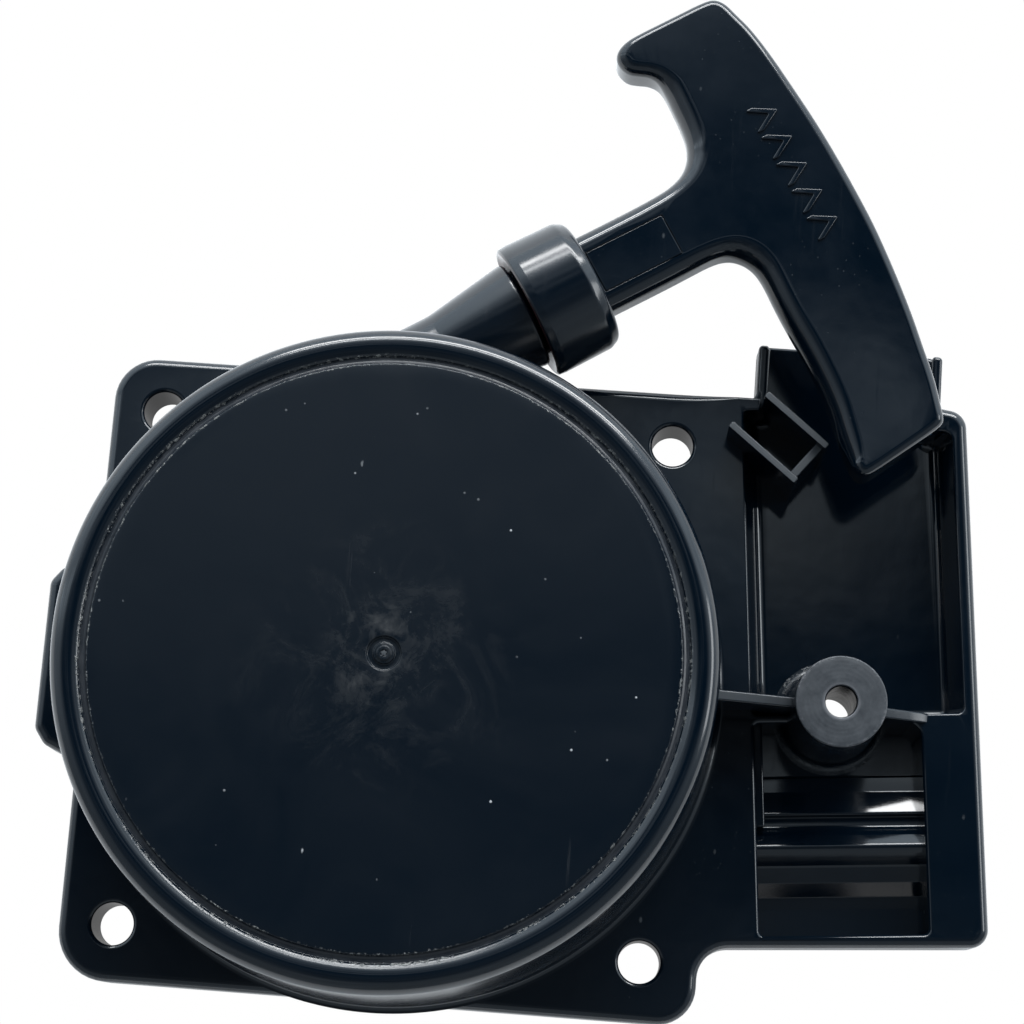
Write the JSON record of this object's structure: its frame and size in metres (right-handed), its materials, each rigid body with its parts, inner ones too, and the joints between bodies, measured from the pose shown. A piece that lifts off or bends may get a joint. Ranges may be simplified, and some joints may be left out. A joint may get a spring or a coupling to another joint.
{
  "type": "recoil starter",
  "caption": "Black moulded recoil starter with a round drum on a bolt-on plate, a side tray, an angled rope neck and a T-handle.",
  "frame": {"origin": "centre of the four-hole pattern on the face that bolts to the engine, which is also the drum's axis", "axes": "+Z along the drum axis, out of the closed face and away from the engine; +X towards the side tray; +Y towards the side where the rope and handle come out. It lies on its mounting face at Z = 0."},
  "size_m": [0.1383, 0.1488, 0.0356],
  "materials": {
    "housing_black": "glossy black injection moulding with fine dust and rub marks",
    "handle_black": "glossy black injection moulding",
    "case_black": "moulded black plastic",
    "reel_grey": "moulded dark grey plastic",
    "eyelet_ceramic": "polished hard steel ring",
    "brass": "turned brass",
    "steel_zinc": "zinc plated steel",
    "spring_steel": "blued spring steel",
    "pawl_steel": "sintered steel",
    "rope": "braided nylon rope"
  },
  "bodies": {
    "starter": {"housing": "housing_black", "rope_eyelet": "eyelet_ceramic", "post_insert": "brass", "centre_bolt": "steel_zinc", "clamp_washer": "steel_zinc", "thrust_washer": "steel_zinc", "spring_case": "case_black", "case_screws": "steel_zinc", "mainspring": "spring_steel"},
    "reel": {"reel": "reel_grey", "reel_bush": "brass", "rope_coil": "rope", "reel_knot": "rope", "friction_spring": "spring_steel", "return_spring": "spring_steel"},
    "guide": {"friction_plate": "steel_zinc"},
    "pawl_1": {"pawl_a": "pawl_steel"},
    "pawl_2": {"pawl_b": "pawl_steel"},
    "handle": {"handle_grip": "handle_black", "handle_lid": "handle_black", "knot_washer": "steel_zinc", "grip_knot": "rope", "rope_lead": "rope"}
  },
  "joints": [
    {"name": "handle_pull", "type": "slide", "parent": "starter", "child": "handle", "axis": [0.8536, 0.521, 0], "range_m": [0, 0.7], "deforming": ["rope_lead", "rope_coil"]},
    {"name": "reel_spin", "type": "hinge", "parent": "starter", "child": "reel", "pos_m": [0, 0, 0.0165], "axis": [0, 0, 1], "range_deg": [-1236, 0], "deforming": ["mainspring"]},
    {"name": "guide_turn", "type": "hinge", "parent": "reel", "child": "guide", "pos_m": [0, 0, 0.0075], "axis": [0, 0, 1], "range_deg": [0, 12]},
    {"name": "pawl_1_swing", "type": "hinge", "parent": "reel", "child": "pawl_1", "pos_m": [0.018, 0, 0.0105], "axis": [0, 0, 1], "range_deg": [0, 20.5]},
    {"name": "pawl_2_swing", "type": "hinge", "parent": "reel", "child": "pawl_2", "pos_m": [-0.018, 0, 0.0105], "axis": [0, 0, 1], "range_deg": [0, 20.5]}
  ],
  "couplings": [
    {"joint": "reel_spin", "follows": "handle_pull", "rad_per_m": -30.7},
    {"joint": "pawl_1_swing", "follows": "guide_turn", "ratio": 1.667},
    {"joint": "pawl_2_swing", "follows": "guide_turn", "ratio": 1.667}
  ]
}
